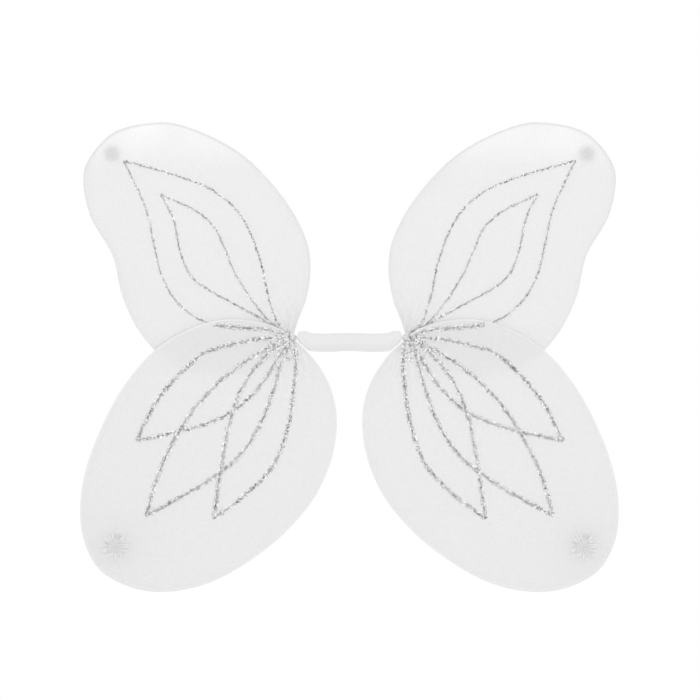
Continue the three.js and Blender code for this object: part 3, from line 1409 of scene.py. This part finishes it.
LOWER = WingShape(
    rank=Rank.LOWER,
    outline=(
        (0, 0), (6.2, 3.8), (19.2, 6.9), (34.4, 7.2), (49.8, 3.3), (65, -4.6), (79.2, -18.2),
        (90.1, -34.6), (98.1, -53), (100.4, -68), (98.3, -80.6), (90.8, -91.6), (75, -98.6),
        (59.3, -100), (40, -96.6), (20.8, -88), (2.8, -76), (-10.9, -62), (-18.9, -46),
        (-20.8, -30.7), (-17.3, -18.3), (-9, -7.2), (0, 0),
    ),
    leaves=(
        Leaf(
            (73.9, -40.5),
            (
                ((15.5, -0.4), (34.4, -3.8), (42.3, -6.2), (57.6, -18.1), (65, -26)),
                ((6.2, -7), (16.7, -20.4), (28.9, -29.1), (44.1, -34.7)),
            ),
        ),
        Leaf(
            (69.2, -69.9),
            (
                ((13.8, -4.8), (31.7, -15.1), (45.8, -27.4), (55.7, -40.1), (64.2, -55.3)),
                ((5.3, -9.5), (8.5, -18.8), (15.2, -34), (26.8, -47.8), (44.1, -58.4)),
            ),
        ),
        Leaf(
            (37.4, -71),
            (
                ((11.7, -6.3), (23, -18.3), (29.6, -32.4), (33.2, -48.2)),
                ((-1.4, -8.8), (-1, -16.5), (2.3, -34.9), (9, -49.8), (22.2, -61.6)),
            ),
        ),
    ),
    toe=(83.7, -81.8),
    burst_mm=16.0,
    streaks=1.0,
    pull=0.0,
    vein_mm=2.25,
    carried=(0.04, 0.36),
)


@dataclass
class Wing:
    """One wing: hoop, nylon cover, glitter veins, gathered toe and its thread."""

    shape: WingShape
    side: Side
    rim_stations: int = 300
    depth_stations: int = 72
    wrap_stations: int = 8
    hug_mm: float = 1.4
    pleat_count: int = 30
    pleat_mm: float = 0.35
    pleat_reach_mm: float = 26.0
    stem_mm: float = 4.9
    vein_start_mm: float = 3.4
    tip_dab_mm: float = 1.6
    tip_swell: float = 0.55
    flake_mm: float = 0.5
    dabs: int = 72
    dab_reach_mm: float = 26.0
    dab_swell: float = 0.4
    taper_mm: float = 16.0
    toe_pleats: int = 14
    crest_pull: float = 0.75
    toe_profile: tuple[Share, ...] = (
        (0.05, 0), (1.3, 0.02), (0.62, 0.22), (0.42, 0.38), (0.5, 0.52), (0.9, 0.8), (0.6, 1),
        (0.04, 0.9),
    )
    name: str = field(init=False)
    body: str = field(init=False)
    root: Vector = field(init=False)
    plane: float = field(init=False)
    wrap: float = field(init=False)
    span: Line = field(init=False)

    def __post_init__(self) -> None:
        """Reads the wing's place and size from the frame."""
        self.name = f"{self.side.word}_{self.shape.rank.value}"
        self.body = f"{self.name}_wing"
        joint = next(j for j in frame["joints"] if j["name"] == f"{self.side.word}_fold")
        self.root = Vector(joint["pos_m"])
        low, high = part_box(f"{self.name}_nylon_cover")
        self.plane = (low.y + high.y) / 2
        self.wrap = (high.y - low.y) / 2
        self.span = self.fitted(np.array([high.x - low.x, high.z - low.z]))

    def fitted(self, wanted: Line) -> Line:
        """Finds the reach and height at which the outline fills the cover's box.

        Args:
            wanted: The box's width and height.

        Returns:
            The reach, with the side's sign, and the height.
        """
        shares = np.array(self.shape.outline) / 100
        span = wanted.copy()
        for _ in range(4):
            line = smooth_through(shares * span)
            span *= wanted / (line.max(0) - line.min(0))
        return span * np.array([self.side.value, 1])

    def placed(self, shares: Sequence[Share]) -> Line:
        """Turns shares of the reach and height into X and Z."""
        return np.array(shares) / 100 * self.span + np.array([self.root.x, self.root.z])

    def wire_line(self) -> Line:
        """The middle of the hoop's wire, from one end at the knot to the other, as X and Z."""
        line = smooth_through(self.placed(self.shape.outline))
        stem = self.stem_mm * MM / length_of(line)
        line = spaced(line, self.rim_stations, stem, 1 - stem)
        return line - outward(line) * self.wrap

    def build(self) -> None:
        """Makes all the pieces of the wing."""
        self.make_hoop()
        self.make_toe()
        self.make_cover()
        self.make_veins()
        self.make_toe_thread()

    def make_hoop(self) -> None:
        """The wire, as a round tube inside the cover's rim."""
        node = f"{self.name}_wire_hoop"
        low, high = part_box(node)
        line = self.wire_line()
        points = np.column_stack([line[:, 0], np.full(len(line), self.plane), line[:, 1]])
        edges = [(index, index + 1) for index in range(len(points) - 1)]
        source = mesh_object(node + "_line", points, [], CoatedWire(), edges)
        values = {"Radius": (high.y - low.y) / 2, "Sides": 12, "Material": CoatedWire().material()}
        hoop = grown(f"{self.name}_hoop", source, TUBE, values)
        settle(hoop, self.body, "white_wire", node)

    def make_cover(self) -> None:
        """The nylon: one skin from the knot over the front, round the wire and down the back."""
        rim = self.wire_line()
        normals = outward(rim)
        hug = self.hug_mm * MM
        columns = len(rim)
        grid = self.skin_grid(rim, normals)
        quarter = np.linspace(-90, 90, self.wrap_stations + 2)[1:-1] * math.pi / 180
        front = [(flat, -hug - self.relief(flat, share, -1)) for share, flat in grid]
        back = [(flat, hug + self.relief(flat, share, 1)) for share, flat in grid]
        around = [
            (rim + normals * hug * math.cos(angle), np.full(columns, hug * math.sin(angle)))
            for angle in quarter
        ]
        rows = front + around + back[::-1]
        points = np.vstack(
            [np.column_stack([flat[:, 0], self.plane + lift, flat[:, 1]]) for flat, lift in rows]
        )
        faces = [
            (r * columns + c, r * columns + c + 1, (r + 1) * columns + c + 1, (r + 1) * columns + c)
            for r in range(len(rows) - 1)
            for c in range(columns - 1)
        ]
        cover = mesh_object(f"{self.name}_nylon", points, faces, SheerNylon())
        self.mark(cover, points)
        flat_rows = len(front) - 1
        on_wire = [flat_rows <= row < len(rows) - flat_rows for row in range(len(rows))]
        store_values(cover, "rim", np.repeat(on_wire, columns))
        settle(cover, self.body, "nylon", f"{self.name}_nylon_cover")

    def skin_grid(self, rim: Line, normals: Line) -> list[tuple[float, Line]]:
        """Lines of the knit that leave the knot straight out and bend to meet the rim.

        Args:
            rim: The wire's line, as X and Z.
            normals: Its normals, out of the wing.

        Returns:
            For each station from the knot to the rim, its share and its points.
        """
        root = np.array([self.root.x, self.root.z])
        away = rim - root
        turn = np.unwrap(np.arctan2(away[:, 1], away[:, 0]))
        reach = np.linalg.norm(away, axis=1)
        along = np.linspace(0, 1, len(rim))
        angle = turn[0] + (turn[-1] - turn[0]) * along
        radius = (reach[0] + (reach[-1] - reach[0]) * along)[:, None]
        heading = np.column_stack([np.cos(angle), np.sin(angle)])
        mouth = root + heading * radius
        chord = rim - mouth
        length = np.linalg.norm(chord, axis=1, keepdims=True)
        leave = 0.8 * heading * length + 0.2 * chord
        meet = 0.5 * normals * length + 0.5 * chord
        grid = []
        for share in np.linspace(0.0, 1.0, self.depth_stations) ** 0.8:
            square, cube = share**2, share**3
            flat = (2 * cube - 3 * square + 1) * mouth + (cube - 2 * square + share) * leave
            flat = flat + (3 * square - 2 * cube) * rim + (cube - square) * meet
            grid.append((float(share), flat))
        return grid

    def mark(self, piece: bpy.types.Object, points: Line) -> None:
        """Keeps what the nylon's material reads: the ways from the gathers, and the stretch.

        Args:
            piece: The nylon piece.
            points: Its vertices.
        """
        flat = points[:, [0, 2]]
        root = np.array([self.root.x, self.root.z])
        toe = self.placed([self.shape.toe])[0]
        still = np.zeros(len(points))
        from_root = (flat - root) / MM
        from_toe = (flat - toe) / (self.shape.burst_mm * MM)
        store_vectors(piece, "from_root", np.column_stack([from_root[:, 0], still, from_root[:, 1]]))
        store_vectors(piece, "from_toe", np.column_stack([from_toe[:, 0], still, from_toe[:, 1]]))
        rise = np.clip((flat[:, 1] - root[1]) / abs(self.span[1]), 0, 1)
        top = np.clip((rise - 0.75) / 0.25, 0, 1)
        pull = self.shape.pull * (1 + 1.4 * rise) + self.crest_pull * top * top * (3 - 2 * top)
        store_values(piece, "pulled_thin", pull)
        store_values(piece, "toe_streaks", still + self.shape.streaks)

    def relief(self, flat: Line, share: float, face: int) -> Line:
        """How far the pleats at the knot and at the toe stand proud.

        Args:
            flat: The points, as X and Z.
            share: How far they are from the knot to the rim.
            face: -1 on the front, 1 on the back.

        Returns:
            The lift of each point.
        """
        away = flat - np.array([self.root.x, self.root.z])
        reach = np.linalg.norm(away, axis=1)
        angle = np.arctan2(away[:, 1], away[:, 0] * self.side.value)
        settled = 1 - share**6
        fade = np.exp(-reach / (self.pleat_reach_mm * MM)) * settled
        ripple = np.sin(angle * self.pleat_count + 1.3 * np.sin(angle * 7 + face))
        off_toe = flat - self.placed([self.shape.toe])[0]
        far = np.linalg.norm(off_toe, axis=1) / (self.shape.burst_mm * MM)
        rays = np.sin(np.arctan2(off_toe[:, 1], off_toe[:, 0]) * self.toe_pleats)
        pucker = np.exp(-(far**2)) * settled
        dimple = -0.7 if face < 0 else 0.25
        return MM * (self.pleat_mm * fade * ripple + pucker * (dimple + 0.25 * rays * far))

    @staticmethod
    def area_of(rim: Line) -> float:
        """The area that the rim goes round."""
        following = np.roll(rim, -1, axis=0)
        return float(abs(np.sum(rim[:, 0] * following[:, 1] - following[:, 0] * rim[:, 1])) / 2)

    def make_veins(self) -> None:
        """The glitter lines on the front of the nylon, with a dab at each tip."""
        node = f"{self.name}_glitter_veins"
        face = self.plane - self.hug_mm * MM
        root = np.array([self.root.x, self.root.z])
        points, edges, swell = [], [], []
        for line, width, dab in self.vein_lines():
            count = max(3, int(length_of(line) / (0.9 * MM)))
            line = spaced(line, count)
            edges += [(len(points) + i, len(points) + i + 1) for i in range(count - 1)]
            points += [(x, face, z) for x, z in line]
            to_tip = np.linalg.norm(line - line[-1], axis=1) / (self.tip_dab_mm * MM)
            taper = 1 - 0.45 * np.exp(-np.linalg.norm(line - root, axis=1) / (self.taper_mm * MM))
            swell += list(width * taper + dab * np.exp(-(to_tip**2)))
        source = mesh_object(node + "_lines", np.array(points), [], GlitterGlue(), edges)
        store_values(source, "swell", np.array(swell))
        values = {
            "Width": self.shape.vein_mm * MM,
            "Flatness": 0.3,
            "Plane": face,
            "Lumps": 1.45,
            "Flake": self.flake_mm * MM,
            "Density": 1.9e6,
            "Strays": 1.0e6,
            "Stray Reach": 2.8,
            "Seed": 11 + 7 * self.side.value + len(self.shape.leaves),
            "Glue": GlitterGlue().material(),
            "Flakes": GlitterFlakes().material(),
        }
        veins = grown(f"{self.name}_veins", source, GLITTER, values)
        settle(veins, self.body, "glitter", node)

    def vein_lines(self) -> list[tuple[Line, float, float]]:
        """The lines of every leaf, and the short dabs between them near the knot.

        Returns:
            Each line as X and Z, its share of the full width, and how much it swells at its tip.
        """
        root = np.array([self.root.x, self.root.z])
        lines, headings = [], []
        for leaf in self.shape.leaves:
            for shares in leaf.sides:
                line = self.placed([*shares, leaf.tip])
                first = (line[0] - root) / np.linalg.norm(line[0] - root)
                headings.append(math.atan2(first[1], first[0] * self.side.value))
                start = root + first * self.vein_start_mm * MM
                lines.append((smooth_through(np.vstack([start, line])), 1.0, self.tip_swell))
        if self.shape.carried:
            lines.append((self.carried_line(), 1.0, 0.0))
        chance = np.random.default_rng(3)
        low, high = min(headings) - 0.12, max(headings) + 0.12
        for _ in range(self.dabs):
            angle = chance.uniform(low, high)
            reach = (4.6 + self.dab_reach_mm * chance.random() ** 1.2) * MM
            heading = np.array([math.cos(angle) * self.side.value, math.sin(angle)])
            start = root + heading * reach
            end = start + heading * chance.uniform(0.4, 1.6) * MM
            lines.append((np.linspace(start, end, 3), self.dab_swell, 0.0))
        return lines

    def carried_line(self) -> Line:
        """The upper wing's lowest line where it is drawn on over the lower wing, as X and Z."""
        other = Wing(UPPER, self.side)
        leaf = UPPER.leaves[0]
        line = smooth_through(other.placed([(0, 0), *leaf.sides[1]]))
        low, high = self.shape.carried
        return spaced(line, 60, low, high)

    def make_toe(self) -> None:
        """The bunched end of the nylon behind the tip, pleated and flared past its tie."""
        node = f"{self.name}_gathered_toe"
        low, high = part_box(node)
        radius = (high.x - low.x) / 2
        centre = (low + high) / 2
        base = self.plane + self.hug_mm * MM
        height = high.y - base
        profile = smooth_through(np.array(self.toe_profile), 6)
        turns = 8 * self.toe_pleats
        points = []
        for out, up in profile:
            for turn in range(turns):
                angle = 2 * math.pi * turn / turns
                fold = 1 + 0.14 * math.sin(self.toe_pleats * angle) * min(1.0, 2.5 * out)
                across = radius * out * fold
                points.append(
                    (
                        centre.x + across * math.cos(angle),
                        base + height * up,
                        centre.z + across * math.sin(angle),
                    )
                )
        rings = len(profile)
        faces = band_faces(rings, turns)
        faces.append(tuple(range(turns)))
        faces.append(tuple((rings - 1) * turns + c for c in reversed(range(turns))))
        toe = mesh_object(f"{self.name}_toe", np.array(points), faces, SheerNylon())
        for label in ("from_root", "from_toe"):
            store_vectors(toe, label, np.full((len(points), 3), 300.0))
        settle(toe, self.body, "nylon", node)

    def make_toe_thread(self) -> None:
        """Three turns of thread round the toe's neck, and the cut tail that hangs from them."""
        node = f"{self.name}_toe_thread"
        low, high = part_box(node)
        centre = (low + high) / 2
        thread = (high.y - low.y) / 4
        radius = (high.x - low.x) / 2 - thread
        points = []
        steps = 120
        for step in range(steps + 1):
            angle = 3 * 2 * math.pi * step / steps
            lift = (step / steps - 0.5) * (high.y - low.y - 2 * thread)
            points.append(
                (
                    centre.x + radius * math.cos(angle),
                    centre.y + lift,
                    centre.z + radius * math.sin(angle),
                )
            )
        last = Vector(points[-1])
        for drop, sway in ((1.2, 0.1), (3.0, 0.5), (5.4, 0.4), (8.0, -0.3), (10.0, -0.6)):
            points.append((last.x + sway * MM, last.y - 0.08 * drop * MM, last.z - drop * MM))
        edges = [(index, index + 1) for index in range(len(points) - 1)]
        source = mesh_object(node + "_line", np.array(points), [], SpunThread(), edges)
        values = {"Radius": thread, "Sides": 8, "Material": SpunThread().material()}
        settle(grown(f"{self.name}_tie", source, TUBE, values), self.body, "thread", node)


@dataclass
class RootKnot:
    """The ball of wound thread that holds two wings."""

    side: Side
    thread_mm: float = 0.35
    turns: int = 34
    flake_mm: float = 0.5
    flakes_per_m2: float = 6e5

    def build(self) -> None:
        """Winds the thread round a small core."""
        node = f"{self.side.word}_root_knot"
        low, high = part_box(node)
        centre = (low + high) / 2
        ball = (high.y - low.y) / 2 - self.thread_mm * MM
        source = self.ball(node + "_core", centre, ball)
        values = {
            "Ball": ball,
            "Thread": self.thread_mm * MM,
            "Turns": self.turns,
            "Centre": tuple(centre),
            "Seed": 5,
            "Material": SpunThread().material(),
        }
        knot = grown(f"{self.side.word}_knot", source, WOUND_BALL, values)
        settle(knot, f"{self.side.word}_root", "thread", node)
        self.sprinkle(centre, (high.y - low.y) / 2)

    def ball(self, name: str, centre: Vector, radius: float) -> bpy.types.Object:
        """Makes a plain ball for a tree to start from.

        Args:
            name: The object's name.
            centre: Its middle.
            radius: Its radius.

        Returns:
            The ball, linked to the scene.
        """
        work = bmesh.new()
        bmesh.ops.create_uvsphere(work, u_segments=32, v_segments=20, radius=radius)
        bmesh.ops.translate(work, verts=work.verts, vec=centre)
        mesh = bpy.data.meshes.new(name)
        work.to_mesh(mesh)
        work.free()
        piece = bpy.data.objects.new(name, mesh)
        bpy.context.scene.collection.objects.link(piece)
        return piece

    def sprinkle(self, centre: Vector, radius: float) -> None:
        """Drops glitter on the front of the knot, where the veins run together.

        Args:
            centre: The knot's middle.
            radius: Its radius, thread and all.
        """
        source = self.ball(f"{self.side.word}_knot_front", centre, radius)
        values = {
            "Flake": self.flake_mm * MM,
            "Density": self.flakes_per_m2,
            "Seed": 9,
            "Flakes": GlitterFlakes().material(),
        }
        flakes = grown(f"{self.side.word}_knot_glitter", source, SPRINKLED, values)
        settle(flakes, f"{self.side.word}_root", "glitter")


# ---------- the bridge ----------


@dataclass
class Bridge:
    """The padded fabric tube between the knots, with its padding, its stitching and its wire."""

    stations: int = 150
    round_stations: int = 64
    end_rise_mm: float = 2.2
    end_reach_mm: float = 1.5
    corner_run_mm: float = 15.0
    end_bottom_mm: float = 3.6
    end_round_mm: float = 2.6
    wave_mm: float = 0.35
    wave_pitch_mm: float = 52.0
    edge_depth: float = 0.3
    core_share: float = 0.72
    padding_room_mm: float = 1.4
    puff_cap_mm: float = 0.9
    stitch_mm: float = 2.2
    stitch_pitch_mm: float = 3.2
    stitch_top_mm: float = 3.9
    stitch_bottom_mm: float = -8.2

    def build(self) -> None:
        """Makes the sleeve, the padding, the stitching and the wire."""
        reach = self.end_reach_mm * MM
        sleeve = self.tube("sleeve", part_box("bridge_sleeve"), BrushedKnit(), reach, 0.0)
        puff(sleeve, self.held_ends(sleeve), self.puff_cap_mm * MM)
        settle(sleeve, "bridge", "sleeve_fabric", "bridge_sleeve")
        room = self.padding_room_mm * MM
        padding = self.tube("padding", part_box("bridge_padding"), Wadding(), 0.0, room)
        settle(padding, "bridge", "padding", "bridge_padding")
        self.make_stitching(sleeve)
        self.make_wire()

    def heights(self, x: float) -> tuple[float, float]:
        """The bottom and top of the sleeve at a place along it, before its ends close.

        Args:
            x: The place.

        Returns:
            The bottom and top.
        """
        low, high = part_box("bridge_sleeve")
        end = high.x + self.end_reach_mm * MM
        swell = math.exp(-(((abs(x) / end - 0.87) / 0.1) ** 2))
        wave = self.wave_mm * MM * math.cos(2 * math.pi * x / (self.wave_pitch_mm * MM))
        top = high.z - (self.end_rise_mm * MM - wave) * (1 - swell)
        run = self.corner_run_mm * MM
        cut = max(0.0, (abs(x) - (end - run)) / run)
        bottom = low.z + (-self.end_bottom_mm * MM - low.z) * cut**1.15 + wave * (1 - cut)
        return bottom, top

    def tube(
        self, name: str, box: tuple[Vector, Vector], finish: Finish, reach: float, room: float
    ) -> bpy.types.Object:
        """A flattened tube whose middle is filled out by the core and whose edges lie flat.

        Args:
            name: The piece's name.
            box: The lowest and highest corner that it fills.
            finish: What it is made of.
            reach: How far its ends go past the box, to meet the knots.
            room: How far inside the sleeve's outline its own outline lies.

        Returns:
            The piece.
        """
        low, high = box
        depth = (high.y - low.y) / 2
        middle = (high.y + low.y) / 2
        end = high.x + reach
        points = []
        for station in np.linspace(-1, 1, self.stations):
            x = math.copysign(1 - (1 - abs(station)) ** 1.15, station) * end
            bottom, top = self.heights(x)
            inside = max(0.0, 1 - (end - abs(x)) / (self.end_round_mm * MM))
            closing = math.sqrt(1 - (0.97 * inside) ** 2)
            centre, half = (bottom + top) / 2, ((top - bottom) / 2 - room) * closing
            full = 0.3 + 0.7 * closing
            for turn in range(self.round_stations):
                angle = 2 * math.pi * turn / self.round_stations
                across = math.copysign(abs(math.cos(angle)) ** 0.75, math.cos(angle))
                core = 1 / (1 + (abs(math.sin(angle)) / self.core_share) ** 8)
                out = across * depth * (self.edge_depth + (1 - self.edge_depth) * core)
                points.append((x, middle + out * full, centre + half * math.sin(angle)))
        faces = band_faces(self.stations, self.round_stations)
        faces.append(tuple(reversed(range(self.round_stations))))
        last = (self.stations - 1) * self.round_stations
        faces.append(tuple(last + c for c in range(self.round_stations)))
        return mesh_object(name, np.array(points), faces, finish)

    def held_ends(self, sleeve: bpy.types.Object) -> list[int]:
        """The vertices that the knots hold: those within a few millimetres of the ends."""
        reach = max(v.co.x for v in sleeve.data.vertices) - 3 * MM
        return [v.index for v in sleeve.data.vertices if abs(v.co.x) > reach]

    def make_stitching(self, sleeve: bpy.types.Object) -> None:
        """Two rows of stitches along the core, on the front and the back of the sleeve.

        Args:
            sleeve: The finished sleeve, which the stitches lie on.
        """
        graph = bpy.context.evaluated_depsgraph_get()
        tree = BVHTree.FromObject(sleeve, graph)
        low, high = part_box("bridge_sleeve")
        points, edges = [], []
        for side in (-1, 1):
            for level in (self.stitch_top_mm, self.stitch_bottom_mm):
                shorter = 9 if level > 0 else 16
                reach = high.x - shorter * MM
                row = []
                for x in np.linspace(-reach, reach, 160):
                    start = Vector((x, side * 0.05, level * MM))
                    hit = tree.ray_cast(start, Vector((0, -side, 0)))[0]
                    if hit is not None:
                        row.append((x, hit.y + side * 0.05 * MM, level * MM))
                edges += [(len(points) + i, len(points) + i + 1) for i in range(len(row) - 1)]
                points += row
        source = mesh_object("stitch_rows", np.array(points), [], SpunThread(), edges)
        values = {
            "Pitch": self.stitch_pitch_mm * MM,
            "Length": self.stitch_mm * MM,
            "Thread": 0.28 * MM,
            "Material": SpunThread().material(),
        }
        settle(grown("sleeve_stitching", source, STITCHES, values), "bridge", "thread")

    def make_wire(self) -> None:
        """The wire through the padding, from knot to knot."""
        low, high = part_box("bridge_wire")
        centre = (low + high) / 2
        points = np.array([(x, centre.y, centre.z) for x in np.linspace(low.x, high.x, 24)])
        edges = [(index, index + 1) for index in range(len(points) - 1)]
        source = mesh_object("core_wire_line", points, [], CoatedWire(), edges)
        values = {
            "Radius": (high.z - low.z) / 2,
            "Sides": 16,
            "Material": CoatedWire().material(),
        }
        settle(grown("core_wire", source, TUBE, values), "bridge", "white_wire", "bridge_wire")


# ---------- studio ----------


@dataclass
class Studio:
    """A white floor, soft light from above and in front, and the camera square on to the wings."""

    view_width: float = 0.78505
    lens_mm: float = 100.0
    sensor_mm: float = 36.0
    aim_x: float = 0.00056
    aim_z: float = -0.01346
    floor_drop: float = 0.06

    def build(self) -> None:
        """Sets the camera, the floor, the sky and the lights."""
        scene = bpy.context.scene
        scene.view_settings.view_transform = "Standard"
        distance = self.view_width * self.lens_mm / self.sensor_mm
        camera = bpy.data.cameras.new("camera")
        camera.lens = self.lens_mm
        camera.sensor_width = self.sensor_mm
        eye = bpy.data.objects.new("camera", camera)
        eye.location = (self.aim_x, -distance, self.aim_z)
        eye.rotation_euler = (math.pi / 2, 0, 0)
        scene.collection.objects.link(eye)
        scene.camera = eye
        self.floor()
        self.sky(scene)
        self.light("key", (-0.6, -1.7, 1.2), 1.0, 3.6)
        self.light("fill", (0.8, -1.8, -0.1), 1.2, 2.4)
        self.light("back", (0.2, 1.7, 0.9), 1.2, 3)

    def floor(self) -> None:
        """A plain white floor a little below the wings."""
        level = CAD_BOX[0][2] - self.floor_drop
        half = 6.0
        corners = np.array([(-half, -half, level), (half, -half, level), (half, half, level), (-half, half, level)])
        floor = mesh_object("floor", corners, [(0, 1, 2, 3)], StudioPaper())
        floor.visible_diffuse = floor.visible_glossy = floor.visible_shadow = False

    @staticmethod
    def sky(scene: bpy.types.Scene) -> None:
        """An even white surround, which shows brighter than the light that it gives."""
        world = bpy.data.worlds.new("surround")
        scene.world = world
        world.use_nodes = True
        tree = world.node_tree
        tree.nodes.clear()
        path = add_node(tree, "ShaderNodeLightPath")
        seen = add_node(
            tree,
            "ShaderNodeMath",
            {"operation": "MAXIMUM"},
            {0: path.outputs["Is Camera Ray"], 1: path.outputs["Is Glossy Ray"]},
        )
        strength = add_node(
            tree,
            "ShaderNodeMapRange",
            inputs={"Value": seen.outputs[0], "To Min": 0.82, "To Max": 1.0},
        )
        back = add_node(
            tree,
            "ShaderNodeBackground",
            inputs={"Color": linear("ffffff"), "Strength": strength.outputs["Result"]},
        )
        add_node(tree, "ShaderNodeOutputWorld", inputs={0: back.outputs[0]})

    @staticmethod
    def light(name: str, place: tuple[float, float, float], size: float, power: float) -> None:
        """A square soft light that faces the wings.

        Args:
            name: The light's name.
            place: Where it hangs.
            size: The side of its face.
            power: Its power in watts.
        """
        lamp = bpy.data.lights.new(name, "AREA")
        lamp.size = size
        lamp.energy = power
        holder = bpy.data.objects.new(name, lamp)
        holder.location = place
        holder.rotation_euler = (-Vector(place)).to_track_quat("-Z", "Y").to_euler()
        bpy.context.scene.collection.objects.link(holder)


TUBE = Trees.tube()
GLITTER = Trees.glitter()
SPRINKLED = Trees.sprinkled()
STITCHES = Trees.stitches()
WOUND_BALL = Trees.wound_ball()


def main() -> None:
    """Builds the studio and every piece."""
    logging.basicConfig(level=logging.INFO, format="%(message)s")
    Studio().build()
    for side in Side:
        for shape in (UPPER, LOWER):
            Wing(shape, side).build()
        RootKnot(side).build()
    Bridge().build()


if __name__ == "__main__":
    main()
